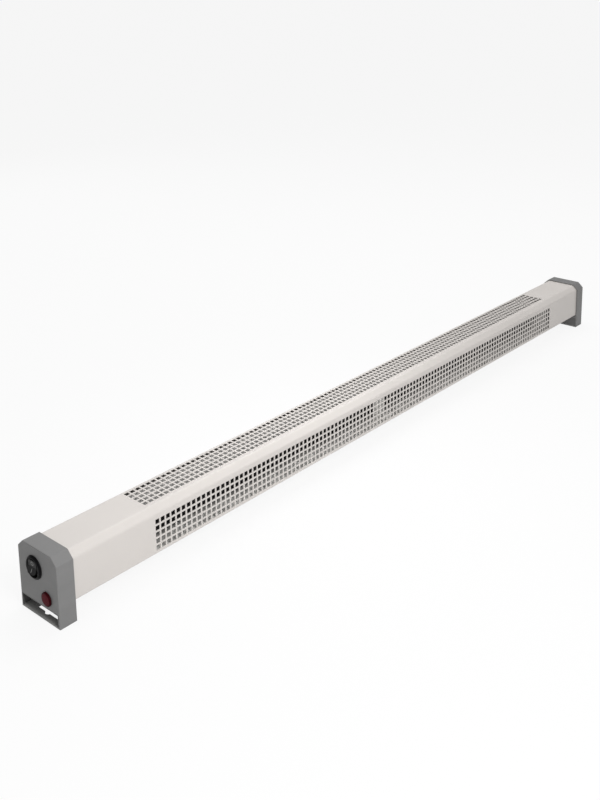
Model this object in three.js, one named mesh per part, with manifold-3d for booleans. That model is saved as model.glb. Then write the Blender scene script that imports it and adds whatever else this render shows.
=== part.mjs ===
// Plinth heater: a long perforated steel casing carried between two moulded end caps.
// Millimetres. +X runs along the heater away from the switch, -Y towards the room and +Z
// up. The origin is on the floor, below the middle of the whole object.
import * as THREE from 'three';
import { mergeVertices } from 'three/addons/utils/BufferGeometryUtils.js';
import Module from 'manifold-3d';

const wasm = await Module();
wasm.setup();

// ---- Driving dimensions -------------------------------------------------------------

const overallLength = 1038; // over the end faces of both caps
const width = 60;
const height = 71.5;
const chamferWidth = 8; // of the caps' top edges, measured along Y
const chamferHeight = 7.5; // and along Z
const gap = 0.3; // between neighbouring pieces
const past = 1; // how far a cutting solid runs past what it cuts

// End caps; distances along the cap start at its end face.
const capDepth = 19;
const capEndWall = 2;
const capSideWall = 1.5;
const capInnerWall = 1.5;
const footThickness = 1.5;
const windowTop = 14.2;
const windowBack = 28;
const windowFront = -27.4;
const shelfBottom = 15.2;
const shelfTop = 17.2;
const ledgeWidth = 6;
const bossRadius = 4;
const keyholeFromEnd = 9.5;
const keyholeLength = 31;
const keyholeWidth = 4;
const keyholeRadius = 4.25;

// Casing and bottom cover.
const sheet = 0.8;
const casingBottom = 20.5;
const casingInset = capSideWall + gap; // inside the caps' outer faces
const casingStart = 5; // from the end face to the casing's cut end
const flangeWidth = 9;
const coverHalf = 27;
const coverStart = 19.5;
const tongueStart = 6; // the tongues reach in to the caps' screws
const tongueHalf = 5;

// Square holes, joined in short slots along each row.
const holePitch = 7;
const holeSide = 5.2;
const holeRows = 5;
const holesPerSlot = 4;
const slotsPerRow = 29;
const frontFirstHole = 121.5; // from the left end face to the first column's middle
const frontTopRow = 54.8; // height of the front face's highest row
const topFirstHole = 119.8;
const topBackRow = 15.5; // the top face's row nearest the back

// Fasteners.
const capScrewRadius = 1.7;
const capScrewHead = 3;
const pinRadius = 1.5; // of cover screws, rivets and the earth screw
const coverScrewHead = 2.4;
const coverScrewY = 22.8;
const coverScrewPlaces = [56, overallLength / 2, overallLength - 56];
const screwHeadHeight = 1.6;
const rivetHead = 0.7;
const rivetHeadRadius = 2.6;

// Round rocker switch in the left cap; depths start at the end face and run inwards.
const switchY = 4.7;
const switchZ = 50.6;
const bezelRadius = 11.8;
const bezelThickness = 2;
const bezelRimRadius = 10.3; // of the bezel's front, from which it slopes out
const bezelEdge = 0.6; // thickness at the bezel's outer edge
const barrelRadius = 10;
const barrelLength = 17;
const wellRadius = 9.2;
const wellHalfWidth = 7.4; // the round well has two flat sides
const wellDepth = 9;
const contactRoomDepth = 15.4;
const contactRoomHalfY = 3.2;
const contactRoomHalfZ = 7.2;
const rockerTilt = 10; // degrees to either side of the middle
const rockerPivot = 4.5;
const rockerEdge = 8.2; // from the pivot out to the rocker's top and bottom edges
const rockerDip = 1.6; // of the rocker's middle below its corners
const rockerHalfLength = 6.6;
const rockerHalfWidth = 6.3;
const rockerCorner = 7.7; // from the rocker's middle out to its rounded corners
const rockerLip = 3.6; // of the plate's edge and of its flat underside, above the pivot
const rockerUnderside = 2.2;
const pivotPinEnd = 9; // from the switch's axis out to the pins' ends
const stemLength = 3;
const stemHalf = 2.2;
const stemBore = 1.4;
const plungerTip = 7.4; // from the pivot in to the plunger's tip
const plungerRadius = 1.1;
const springTurns = 3;
const springLength = 2.9;
const leverTilt = 8;
const leverPivot = 12.6;
const leverHalfLength = 6;
const leverThickness = 0.8;
const contactOffset = 5.2; // from the middle terminal to the load terminal
const loadContact = 14.6;
const tabEnd = 27;
const tabHalfThickness = 0.4;
const tabHalfWidth = 2.4;

// Indicator lamp in the left cap.
const lampY = -12.65;
const lampZ = 25.2;
const lampRadius = 7.2;
const lampBarrelRadius = 4.8;
const lampBarrelLength = 13;
const lampBoreRadius = 3.5;
const lampNutRadius = 6.8;
const lampNutHeight = 2.5;
const bulbLength = 8;

// Heating element; distances start at either end face.
const elementZ = 38;
const tubeRadius = 4;
const tubeStart = 94;
const finStart = 118;
const finReach = 10; // room for the webs' tips, along Y and Z
const webHalfLength = 13;
const webHalfThickness = 0.9;
const barrelWall = 2;
const studStart = 84;
const studRadius = 2;
const bushRadius = 5.5;

// Brackets, middle support and overheat cut-out.
const bracketStart = 112;
const bracketThickness = 1;
const bracketHalf = 24;
const bracketTop = 62;
const bracketFootLength = 11;
const bracketFootHalf = 10;
const bracketRivet = bracketStart + 6;
const supportFromMiddle = -11; // along X
const supportHalf = 10; // along X
const supportInside = finReach + 0.4;
const supportWall = 1.8;
const supportFoot = 1.2;
const supportReach = 18.4;
const supportRivetY = 15.2;
const cutoutY = -12;
const cutoutZ = 52;
const cutoutRadius = 7.2;
const cutoutDepth = 7.5;
const cutoutTabReach = 14.7;
const cutoutTabZ = 3.5;
const cutoutEar = 12;
const cutoutRivetY = 9.5;

// Terminal block, earth connection, wires and inlet; distances start at the left end.
const blockStart = 60;
const blockFront = 8;
const blockBack = 22;
const blockTop = 35;
const polePitch = 8;
const poleZ = 29;
const poleScrews = [11.5, 18.5];
const earthScrewX = 96;
const earthScrewY = -17;
const neutralY = 19.8;
const wireRadius = 1.2;
const thinWireRadius = 0.8;
const grommetX = 45;
const grommetZ = 40;
const grommetHole = 6.3;

// ---- Places worked out from them ----------------------------------------------------

const coverBottom = casingBottom + sheet + gap;
const coverTop = coverBottom + sheet;
const innerFloor = coverTop + gap;
const underCover = coverBottom - gap;

// The raised edge of the rocker is the leftmost point, so the end faces are set off
// the middle by half of what it stands out.
const tilt = THREE.MathUtils.degToRad(rockerTilt);
const rockerReach = rockerEdge * Math.cos(tilt) + rockerHalfLength * Math.sin(tilt) - rockerPivot;
const leftEnd = (rockerReach - overallLength) / 2;
const rightEnd = leftEnd + overallLength;
const middleX = (leftEnd + rightEnd) / 2;
const supportX = middleX + supportFromMiddle;
const fromLeft = (distance) => leftEnd + distance;
const fromRight = (distance) => rightEnd - distance;
const ends = [['left', fromLeft], ['right', fromRight]];
const spanOf = (at, near, far) => [Math.min(at(near), at(far)), Math.max(at(near), at(far))];

// Everything that pins something to the bottom cover, as seen from above.
const coverScrews = coverScrewPlaces.flatMap((along, index) => [
  { name: `cover_screw_front_${index + 1}`, x: fromLeft(along), y: -coverScrewY },
  { name: `cover_screw_back_${index + 1}`, x: fromLeft(along), y: coverScrewY },
]);
const floorPins = [
  ...coverScrews.map(({ x, y }) => [x, y]),
  [fromLeft(bracketRivet), 0],
  [fromRight(bracketRivet), 0],
  [supportX, supportRivetY],
  [supportX, -supportRivetY],
  [fromLeft(earthScrewX), earthScrewY],
];

// ---- Solids -------------------------------------------------------------------------

const group = new THREE.Group();

function solid(geometry) {
  const bare = new THREE.BufferGeometry();
  bare.setAttribute('position', geometry.getAttribute('position').clone());
  if (geometry.index) bare.setIndex(geometry.index.clone());
  const merged = mergeVertices(bare, 1e-4);
  return new wasm.Manifold(new wasm.Mesh({
    numProp: 3,
    vertProperties: new Float32Array(merged.getAttribute('position').array),
    triVerts: new Uint32Array(merged.index.array),
  }));
}

function addPart(name, shape, material) {
  const mesh = shape.getMesh();
  const geometry = new THREE.BufferGeometry();
  geometry.setAttribute('position', new THREE.BufferAttribute(mesh.vertProperties, 3));
  geometry.setIndex(new THREE.BufferAttribute(mesh.triVerts, 1));
  geometry.computeVertexNormals();
  const part = new THREE.Mesh(geometry, material);
  part.name = name;
  group.add(part);
  return part;
}

const union = (...shapes) => shapes.reduce((whole, shape) => whole.add(shape));
const cut = (shape, ...tools) => tools.reduce((whole, tool) => whole.subtract(tool), shape);

function box([x0, x1], [y0, y1], [z0, z1]) {
  const geometry = new THREE.BoxGeometry(Math.abs(x1 - x0), Math.abs(y1 - y0), Math.abs(z1 - z0));
  geometry.translate((x0 + x1) / 2, (y0 + y1) / 2, (z0 + z1) / 2);
  return solid(geometry);
}

// A round bar along an axis, its centre line given by the other two coordinates.
function rod(axis, [start, end], [a, b], radius, sides = 20) {
  const geometry = new THREE.CylinderGeometry(radius, radius, Math.abs(end - start), sides);
  const middle = (start + end) / 2;
  if (axis === 'x') geometry.rotateZ(Math.PI / 2).translate(middle, a, b);
  if (axis === 'y') geometry.translate(a, middle, b);
  if (axis === 'z') geometry.rotateX(Math.PI / 2).translate(a, b, middle);
  return solid(geometry);
}

// A profile of [radius, distance] pairs turned about a line through a point.
function turned(axis, profile, point, sides = 20) {
  const outline = profile.map(([radius, distance]) => new THREE.Vector2(radius, distance));
  const geometry = new THREE.LatheGeometry(outline, sides);
  if (axis === 'x') geometry.rotateZ(-Math.PI / 2);
  if (axis === 'z') geometry.rotateX(Math.PI / 2);
  return solid(geometry.translate(...point));
}

// An outline of [y, z] corners drawn out along X.
function alongX(outline, [x0, x1]) {
  const shape = new THREE.Shape(outline.map(([y, z]) => new THREE.Vector2(y, z)));
  const geometry = new THREE.ExtrudeGeometry(shape, { depth: x1 - x0, bevelEnabled: false });
  const turn = new THREE.Matrix4().makeBasis(
    new THREE.Vector3(0, 1, 0), new THREE.Vector3(0, 0, 1), new THREE.Vector3(1, 0, 0));
  return solid(geometry.applyMatrix4(turn).translate(x0, 0, 0));
}

// An outline of [x, y] corners drawn out along Z.
function alongZ(outline, [z0, z1]) {
  const shape = new THREE.Shape(outline.map(([x, y]) => new THREE.Vector2(x, y)));
  const geometry = new THREE.ExtrudeGeometry(shape, { depth: z1 - z0, bevelEnabled: false });
  return solid(geometry.translate(0, 0, z0));
}

// Steps are shared equally among the stretches between points, so that a long straight
// stretch costs no more than a bend.
class Route extends THREE.CatmullRomCurve3 {
  getUtoTmapping(u) {
    return u;
  }
}

function roundTube(route, radius, steps, sides) {
  const circle = new THREE.EllipseCurve(0, 0, radius, radius).getPoints(sides).slice(0, sides);
  const settings = { steps, extrudePath: route, bevelEnabled: false };
  return solid(new THREE.ExtrudeGeometry(new THREE.Shape(circle), settings));
}

// A wire through [distance from the left end face, y, z] points.
function wire(points, radius) {
  const route = new Route(points.map(([along, y, z]) => new THREE.Vector3(fromLeft(along), y, z)));
  return roundTube(route, radius, (points.length - 1) * 3, 6);
}

// The chamfered cross-section, a given distance in from the caps' outer faces.
function section(inset, foot) {
  const slope = Math.hypot(chamferWidth, chamferHeight);
  const side = width / 2 - inset;
  const top = height - inset;
  const shoulder = height - chamferHeight - inset * (slope - chamferHeight) / chamferWidth;
  const ridge = width / 2 - chamferWidth - inset * (slope - chamferWidth) / chamferHeight;
  return [[-side, foot], [side, foot], [side, shoulder], [ridge, top], [-ridge, top], [-side, shoulder]];
}

// A slotted pan head below and a pointed shank above.
function screwUp(x, y, headBottom, tip, headRadius, shankRadius) {
  const headTop = headBottom + screwHeadHeight;
  const body = turned('z', [[0, headBottom], [headRadius * 0.75, headBottom], [headRadius, headBottom + 0.8],
    [headRadius, headTop], [shankRadius, headTop], [shankRadius, tip - 2], [0, tip]], [x, y, 0], 12);
  const slot = box([x - headRadius, x + headRadius], [y - 0.4, y + 0.4],
    [headBottom - past, headBottom + 0.7]);
  return cut(body, slot);
}

// Two flat heads on a shank, from one outer head face to the other.
function rivet(axis, [start, end], point, headRadius = rivetHeadRadius) {
  return turned(axis, [[0, start], [headRadius, start], [headRadius, start + rivetHead],
    [pinRadius, start + rivetHead], [pinRadius, end - rivetHead], [headRadius, end - rivetHead],
    [headRadius, end], [0, end]], point, 10);
}

const pinHole = (axis, span, centre) => rod(axis, span, centre, pinRadius + gap, 10);

// ---- Materials ----------------------------------------------------------------------

const finish = (color, roughness, metalness) => (
  new THREE.MeshStandardMaterial({ color, roughness, metalness }));
const greyPlastic = finish('#7f7f7f', 0.55, 0);
const casingPaint = finish('#d6d1cc', 0.5, 0);
const galvanised = finish('#b4b6b4', 0.45, 0.8);
const blackPlastic = finish('#141414', 0.25, 0);
const redPlastic = finish('#5a1520', 0.2, 0);
const blackAluminium = finish('#1b1b1b', 0.6, 0.3);
const platedSteel = finish('#9a9a98', 0.35, 0.9);
const brass = finish('#b8964a', 0.35, 0.9);
const ceramic = finish('#e6e2d8', 0.6, 0);
const lampGlass = finish('#d9d2c4', 0.1, 0);
const rubber = finish('#1e1e1e', 0.8, 0);
const brownWire = finish('#5a3521', 0.5, 0);
const blueWire = finish('#2f5a9a', 0.5, 0);
const greenWire = finish('#7a9a34', 0.5, 0);

// ---- End caps -----------------------------------------------------------------------

// Both caps are one moulding: at() turns a distance from the end face into a place on X.
function capShape(at) {
  const insideHalf = width / 2 - capSideWall;
  const body = alongX(section(0, 0), spanOf(at, 0, capDepth));
  const chamber = alongX(section(capSideWall, shelfTop), spanOf(at, capEndWall, capDepth + past));
  const pocket = box(spanOf(at, capEndWall, capDepth - capInnerWall), [-insideHalf, insideHalf],
    [footThickness, shelfBottom]);
  const windowCut = box(spanOf(at, -past, capEndWall + 0.1), [windowFront, windowBack],
    [footThickness, windowTop]);
  const footSpan = [-past, footThickness + past];
  const keySlot = box(spanOf(at, keyholeFromEnd - keyholeWidth / 2, keyholeFromEnd + keyholeWidth / 2),
    [-keyholeLength / 2, keyholeLength / 2], footSpan);
  const keyHole = rod('z', footSpan, [at(keyholeFromEnd), 0], keyholeRadius, 32);
  const ledge = (side) => box(spanOf(at, casingStart, capDepth - capInnerWall),
    [side * (insideHalf + 0.5), side * (insideHalf - ledgeWidth)], [shelfTop - 0.5, casingBottom - gap]);
  const boss = rod('z', [shelfTop - 0.5, underCover], [at(keyholeFromEnd), 0], bossRadius);
  const screwHole = rod('z', [shelfBottom - past, coverBottom], [at(keyholeFromEnd), 0],
    capScrewRadius + gap, 10);
  const hollowed = cut(body, chamber, pocket, windowCut, keySlot, keyHole);
  return cut(union(hollowed, ledge(1), ledge(-1), boss), screwHole);
}

function addCaps() {
  const throughWall = [leftEnd - past, leftEnd + capEndWall + past];
  const switchHole = rod('x', throughWall, [switchY, switchZ], barrelRadius + gap, 32);
  const lampHole = rod('x', throughWall, [lampY, lampZ], lampBarrelRadius + gap);
  addPart('left_end_cap', cut(capShape(fromLeft), switchHole, lampHole), greyPlastic);
  addPart('right_end_cap', capShape(fromRight), greyPlastic);
  const headBottom = shelfBottom - gap - screwHeadHeight;
  for (const [side, at] of ends) {
    const screw = screwUp(at(keyholeFromEnd), 0, headBottom, coverTop + 2.6, capScrewHead, capScrewRadius);
    addPart(`${side}_cap_screw`, screw, platedSteel);
  }
}

// ---- Casing and bottom cover --------------------------------------------------------

function casingSlots() {
  const slotPitch = holesPerSlot * holePitch;
  const slotLength = slotPitch - holePitch + holeSide;
  const throughFront = [-width / 2, -width / 2 + casingInset + sheet + past];
  const throughTop = [height - casingInset - sheet - past, height];
  const cutters = [];
  for (let slot = 0; slot < slotsPerRow; slot += 1) {
    for (let row = 0; row < holeRows; row += 1) {
      const frontX = fromLeft(frontFirstHole) + slot * slotPitch - holeSide / 2;
      const frontZ = frontTopRow - row * holePitch - holeSide / 2;
      cutters.push(box([frontX, frontX + slotLength], throughFront, [frontZ, frontZ + holeSide]));
      const topX = fromLeft(topFirstHole) + slot * slotPitch - holeSide / 2;
      const topY = topBackRow - row * holePitch - holeSide / 2;
      cutters.push(box([topX, topX + slotLength], [topY, topY + holeSide], throughTop));
    }
  }
  return wasm.Manifold.union(cutters);
}

function addCasing() {
  const span = [fromLeft(casingStart), fromRight(casingStart)];
  const longer = [span[0] - past, span[1] + past];
  const outside = alongX(section(casingInset, casingBottom), span);
  const inside = alongX(section(casingInset + sheet, casingBottom + sheet), longer);
  const mouthHalf = width / 2 - casingInset - flangeWidth;
  const throughFlange = [casingBottom - past, casingBottom + sheet + past];
  const mouth = box(longer, [-mouthHalf, mouthHalf], throughFlange);
  const cableHole = rod('y', [width / 2 - casingInset - sheet - past, width / 2],
    [fromLeft(grommetX), grommetZ], grommetHole, 16);
  const screwHoles = coverScrews.map(({ x, y }) => pinHole('z', throughFlange, [x, y]));
  addPart('casing_shell', cut(outside, inside, mouth, cableHole, casingSlots(), ...screwHoles), casingPaint);
}

function addBottomCover() {
  const thickness = [coverBottom, coverTop];
  const through = [coverBottom - past, coverTop + past];
  const plate = box([fromLeft(coverStart), fromRight(coverStart)], [-coverHalf, coverHalf], thickness);
  const tongues = box([fromLeft(tongueStart), fromRight(tongueStart)], [-tongueHalf, tongueHalf], thickness);
  const capHoles = ends.map(([, at]) => rod('z', through, [at(keyholeFromEnd), 0], capScrewRadius + gap, 10));
  const holes = floorPins.map((centre) => pinHole('z', through, centre));
  addPart('bottom_cover', cut(union(plate, tongues), ...capHoles, ...holes), galvanised);
  for (const { name, x, y } of coverScrews) {
    const headBottom = casingBottom - gap - screwHeadHeight;
    addPart(name, screwUp(x, y, headBottom, coverTop + 3.6, coverScrewHead, pinRadius), platedSteel);
  }
}

// ---- Switch: housing, rocker with its plunger and spring, see-saw lever, terminals --

function addSwitchHousing() {
  const face = -gap - bezelThickness;
  const body = turned('x', [[0, face], [bezelRimRadius, face], [bezelRadius, -gap - bezelEdge],
    [bezelRadius, -gap], [barrelRadius, -gap], [barrelRadius, barrelLength], [0, barrelLength]],
  [leftEnd, switchY, switchZ], 48);
  const wellSpan = [fromLeft(face - past), fromLeft(wellDepth)];
  const wellSides = box(wellSpan, [switchY - wellHalfWidth, switchY + wellHalfWidth],
    [switchZ - wellRadius, switchZ + wellRadius]);
  const well = rod('x', wellSpan, [switchY, switchZ], wellRadius, 48).intersect(wellSides);
  const contactRoom = box([fromLeft(wellDepth - past), fromLeft(contactRoomDepth)],
    [switchY - contactRoomHalfY, switchY + contactRoomHalfY],
    [switchZ - contactRoomHalfZ, switchZ + contactRoomHalfZ]);
  const pivotHoles = rod('y', [switchY - pivotPinEnd - gap, switchY + pivotPinEnd + gap],
    [fromLeft(rockerPivot), switchZ], pinRadius + gap, 16);
  const tabSlot = (offset) => box([fromLeft(contactRoomDepth - past), fromLeft(barrelLength + past)],
    [switchY - tabHalfWidth - gap, switchY + tabHalfWidth + gap],
    [switchZ + offset - tabHalfThickness - gap, switchZ + offset + tabHalfThickness + gap]);
  const housing = cut(body, well, contactRoom, pivotHoles, tabSlot(0), tabSlot(contactOffset));
  addPart('switch_housing', housing, blackPlastic);
}

// The rocker and the lever are drawn about their pivots, with their length along Y and
// their pivots along Z, and then laid over so that they rock up and down.
function layInSwitch(piece, depth, turn) {
  piece.position.set(fromLeft(depth), switchY, switchZ);
  piece.rotation.set(-Math.PI / 2, 0, turn);
}

// A dished plate with rounded corners, a stem with the plunger's bore, and two ears with
// the pivot pins.
function rockerShape() {
  const spread = rockerHalfLength + gap;
  const plate = alongZ([[-rockerEdge, rockerHalfLength], [-rockerEdge + rockerDip, 0],
    [-rockerEdge, -rockerHalfLength], [-rockerLip, -spread], [-rockerUnderside, -4.2],
    [-rockerUnderside, 4.2], [-rockerLip, spread]], [-rockerHalfWidth, rockerHalfWidth]);
  const roundCorners = rod('x', [-2 * rockerEdge, rockerEdge], [0, 0], rockerCorner, 48);
  const stem = box([-rockerUnderside - past, stemLength], [-stemHalf, stemHalf], [-3, 3]);
  const ear = (side) => box([-rockerUnderside - past, 1.8], [-stemHalf, stemHalf], [side * 3.8, side * 5.5]);
  const pins = rod('z', [-pivotPinEnd, pivotPinEnd], [0, 0], pinRadius, 16);
  const betweenEars = box([-1.9, 1.9], [-1.9, 1.9], [-3.7, 3.7]);
  const bore = rod('x', [-stemLength, stemLength + past], [0, 0], stemBore, 16);
  return cut(union(plate.intersect(roundCorners), ear(1), ear(-1), cut(pins, betweenEars), stem), bore);
}

// The spring ends just short of the plunger, which starts a little past the pivot.
function springShape() {
  const strandRadius = 0.2;
  const coilRadius = stemBore - strandRadius - gap;
  const steps = springTurns * 8;
  const points = [];
  for (let step = 0; step <= steps; step += 1) {
    const angle = springTurns * 2 * Math.PI * step / steps;
    const along = gap - springLength * (1 - step / steps);
    points.push(new THREE.Vector3(along, coilRadius * Math.cos(angle), coilRadius * Math.sin(angle)));
  }
  return roundTube(new Route(points), strandRadius, steps, 5);
}

// At rest the upper end is pressed in.
function addRocker() {
  const plunger = turned('x', [[0, 0.6], [plungerRadius, 0.6], [plungerRadius, plungerTip - 1],
    [0.8, plungerTip - gap], [0, plungerTip]], [0, 0, 0], 12);
  layInSwitch(addPart('switch_rocker', rockerShape(), blackPlastic), rockerPivot, tilt);
  layInSwitch(addPart('rocker_plunger', plunger, ceramic), rockerPivot, tilt);
  layInSwitch(addPart('plunger_spring', springShape(), platedSteel), rockerPivot, tilt);
}

function addContacts() {
  const halfThickness = leverThickness / 2;
  const blade = box([-halfThickness, halfThickness], [-leverHalfLength, leverHalfLength], [-2, 2]);
  const button = rod('x', [0, halfThickness + 0.5], [-contactOffset, 0], 1, 12);
  const lever = addPart('contact_lever', union(blade, button), brass);
  layInSwitch(lever, leverPivot, -THREE.MathUtils.degToRad(leverTilt));
  const tabY = [switchY - tabHalfWidth, switchY + tabHalfWidth];
  const tab = (z, start) => box([fromLeft(start), fromLeft(tabEnd)], tabY,
    [z - tabHalfThickness, z + tabHalfThickness]);
  const loadZ = switchZ + contactOffset;
  const pad = box([fromLeft(loadContact), fromLeft(loadContact + 0.5)], tabY, [loadZ - 1, loadZ + 1]);
  addPart('common_terminal', tab(switchZ, leverPivot + halfThickness + gap), brass);
  addPart('load_terminal', union(tab(loadZ, loadContact), pad), brass);
}

// ---- Indicator lamp -----------------------------------------------------------------

function addLamp() {
  const centre = [leftEnd, lampY, lampZ];
  const lens = [[0, -2.4], [3.2, -2.25], [5.6, -1.8], [lampRadius, -1], [lampRadius, -gap],
    [lampBarrelRadius, -gap], [lampBarrelRadius, lampBarrelLength], [lampBoreRadius, lampBarrelLength],
    [lampBoreRadius, -0.6], [0, -0.6]];
  addPart('lamp_lens', turned('x', lens, centre), redPlastic);
  const nutStart = leftEnd + capEndWall + gap;
  const nut = rod('x', [nutStart, nutStart + lampNutHeight], [lampY, lampZ], lampNutRadius, 6);
  const nutBore = rod('x', [nutStart - past, nutStart + lampNutHeight + past], [lampY, lampZ],
    lampBarrelRadius + gap);
  addPart('lamp_nut', cut(nut, nutBore), galvanised);
  const bulb = [[0, 0], [1.5, 0.4], [2.4, 1.5], [2.4, 7], [1.2, bulbLength], [0, bulbLength]];
  addPart('neon_bulb', turned('x', bulb, centre, 16), lampGlass);
  const resistorSpan = [leftEnd + bulbLength + gap, leftEnd + lampBarrelLength];
  addPart('lamp_resistor', rod('x', resistorSpan, [lampY - 1.5, lampZ], 1.1, 12), ceramic);
}

// ---- Heating element and what carries it --------------------------------------------

function addElement() {
  const axis = [0, elementZ];
  const tube = rod('x', [fromLeft(tubeStart), fromRight(tubeStart)], axis, tubeRadius);
  addPart('element_tube', tube, platedSteel);
  const finSpan = [fromLeft(finStart), fromRight(finStart)];
  const web = (turn) => {
    const corners = [[-webHalfLength, -webHalfThickness], [webHalfLength, -webHalfThickness],
      [webHalfLength, webHalfThickness], [-webHalfLength, webHalfThickness]];
    return alongX(corners.map(([a, b]) => [a * Math.cos(turn) - b * Math.sin(turn),
      elementZ + a * Math.sin(turn) + b * Math.cos(turn)]), finSpan);
  };
  const barrel = rod('x', finSpan, axis, tubeRadius + barrelWall);
  const bore = rod('x', [finSpan[0] - past, finSpan[1] + past], axis, tubeRadius + gap);
  addPart('finned_bar', cut(union(web(Math.PI / 4), web(-Math.PI / 4), barrel), bore), blackAluminium);
  for (const [side, at] of ends) {
    const bushSpan = [at(studStart + 2), at(tubeStart - gap)];
    const bush = rod('x', bushSpan, axis, bushRadius, 16);
    const bushBore = rod('x', [at(studStart), at(tubeStart)], axis, studRadius + gap, 12);
    addPart(`${side}_element_bush`, cut(bush, bushBore), ceramic);
    const stud = rod('x', [at(studStart), at(tubeStart - gap)], axis, studRadius, 12);
    addPart(`${side}_terminal_stud`, stud, platedSteel);
  }
}

function addBrackets() {
  for (const [side, at] of ends) {
    const plate = box(spanOf(at, bracketStart, bracketStart + bracketThickness), [-bracketHalf, bracketHalf],
      [innerFloor, bracketTop]);
    const foot = box(spanOf(at, bracketStart + 0.5, bracketStart + bracketFootLength),
      [-bracketFootHalf, bracketFootHalf], [innerFloor, innerFloor + bracketThickness]);
    const through = spanOf(at, bracketStart - past, bracketStart + bracketThickness + past);
    const cuts = [
      rod('x', through, [0, elementZ], tubeRadius + gap),
      box(through, [neutralY - 3, neutralY + 3], [innerFloor - past, innerFloor + 5.8]),
      pinHole('z', [innerFloor - past, innerFloor + bracketThickness + past], [at(bracketRivet), 0]),
    ];
    if (side === 'left') {
      cuts.push(pinHole('x', through, [cutoutY - cutoutRivetY, cutoutZ]));
      cuts.push(pinHole('x', through, [cutoutY + cutoutRivetY, cutoutZ]));
    }
    addPart(`${side}_bracket`, cut(union(plate, foot), ...cuts), galvanised);
    const rivetSpan = [underCover - rivetHead, innerFloor + bracketThickness + gap + rivetHead];
    addPart(`${side}_bracket_rivet`, rivet('z', rivetSpan, [at(bracketRivet), 0, 0]), platedSteel);
  }
}

function addMiddleSupport() {
  const span = [supportX - supportHalf, supportX + supportHalf];
  const outside = supportInside + supportWall;
  const footTop = innerFloor + supportFoot;
  const frame = box(span, [-outside, outside], [elementZ - outside, elementZ + outside]);
  const opening = box([span[0] - past, span[1] + past], [-supportInside, supportInside],
    [elementZ - supportInside, elementZ + supportInside]);
  const pieces = [cut(frame, opening)];
  for (const side of [1, -1]) {
    pieces.push(box(span, [side * supportInside, side * outside], [innerFloor, elementZ]));
    pieces.push(box(span, [side * supportInside, side * supportReach], [innerFloor, footTop]));
  }
  const through = [innerFloor - past, footTop + past];
  const holes = [1, -1].map((side) => pinHole('z', through, [supportX, side * supportRivetY]));
  addPart('middle_support', cut(union(...pieces), ...holes), galvanised);
  const rivetSpan = [underCover - rivetHead, footTop + gap + rivetHead];
  addPart('support_rivet_front', rivet('z', rivetSpan, [supportX, -supportRivetY, 0]), platedSteel);
  addPart('support_rivet_back', rivet('z', rivetSpan, [supportX, supportRivetY, 0]), platedSteel);
}

// ---- Overheat cut-out, terminal block and earth -------------------------------------

function addCutout() {
  const face = fromLeft(bracketStart - gap);
  const can = rod('x', [face - cutoutDepth, face], [cutoutY, cutoutZ], cutoutRadius);
  const ears = box([face - 1, face], [cutoutY - cutoutEar, cutoutY + cutoutEar], [cutoutZ - 3, cutoutZ + 3]);
  const tab = (side) => box([face - cutoutTabReach, face - cutoutDepth + 0.5],
    [cutoutY - tabHalfWidth, cutoutY + tabHalfWidth],
    [cutoutZ + side * cutoutTabZ - tabHalfThickness, cutoutZ + side * cutoutTabZ + tabHalfThickness]);
  const hole = (side) => pinHole('x', [face - 2, face + past], [cutoutY + side * cutoutRivetY, cutoutZ]);
  addPart('overheat_cutout', cut(union(can, ears, tab(1), tab(-1)), hole(1), hole(-1)), blackPlastic);
  const rivetSpan = [face - 1 - gap - rivetHead, fromLeft(bracketStart + bracketThickness) + gap + rivetHead];
  for (const [side, place] of [[-1, 'front'], [1, 'back']]) {
    const point = [0, cutoutY + side * cutoutRivetY, cutoutZ];
    addPart(`cutout_rivet_${place}`, rivet('x', rivetSpan, point, 2), platedSteel);
  }
}

const poleAlong = (pole) => blockStart + polePitch * (pole + 0.5);

function addTerminalBlock() {
  const body = box([fromLeft(blockStart), fromLeft(blockStart + 3 * polePitch)], [blockFront, blockBack],
    [innerFloor, blockTop]);
  const shafts = [];
  ['live', 'neutral', 'earth'].forEach((name, pole) => {
    const x = fromLeft(poleAlong(pole));
    const upright = (y, radius, top) => rod('z', [poleZ, top], [x, y], radius, 10);
    shafts.push(rod('y', [blockFront - past, blockBack + past], [x, poleZ], 2.6, 12));
    shafts.push(...poleScrews.map((y) => upright(y, 2.2, blockTop + past)));
    const insert = rod('y', [blockFront + 1.3, blockBack - 1.3], [x, poleZ], 2.2, 12);
    const screws = poleScrews.map((y) => upright(y, 1.8, blockTop - 1));
    addPart(`block_insert_${name}`, union(insert, ...screws), brass);
  });
  addPart('terminal_block', cut(body, ...shafts), ceramic);
}

function addEarth() {
  const x = fromLeft(earthScrewX);
  const tagTop = innerFloor + 0.8;
  const ring = rod('z', [innerFloor, tagTop], [x, earthScrewY], 4.2);
  const hole = pinHole('z', [innerFloor - past, tagTop + past], [x, earthScrewY]);
  const barrel = box([x - 8, x - 3.6], [earthScrewY - 1.6, earthScrewY + 1.6], [innerFloor, tagTop + 2]);
  addPart('earth_tag', union(cut(ring, hole), barrel), brass);
  const headBottom = tagTop + gap;
  addPart('earth_screw', turned('z', [[0, coverBottom - 3], [pinRadius, coverBottom - 2],
    [pinRadius, headBottom], [3, headBottom], [3, headBottom + 1.4], [2.2, headBottom + screwHeadHeight],
    [0, headBottom + screwHeadHeight]], [x, earthScrewY, 0], 12), platedSteel);
}

// ---- Wires and the inlet ------------------------------------------------------------

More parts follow.
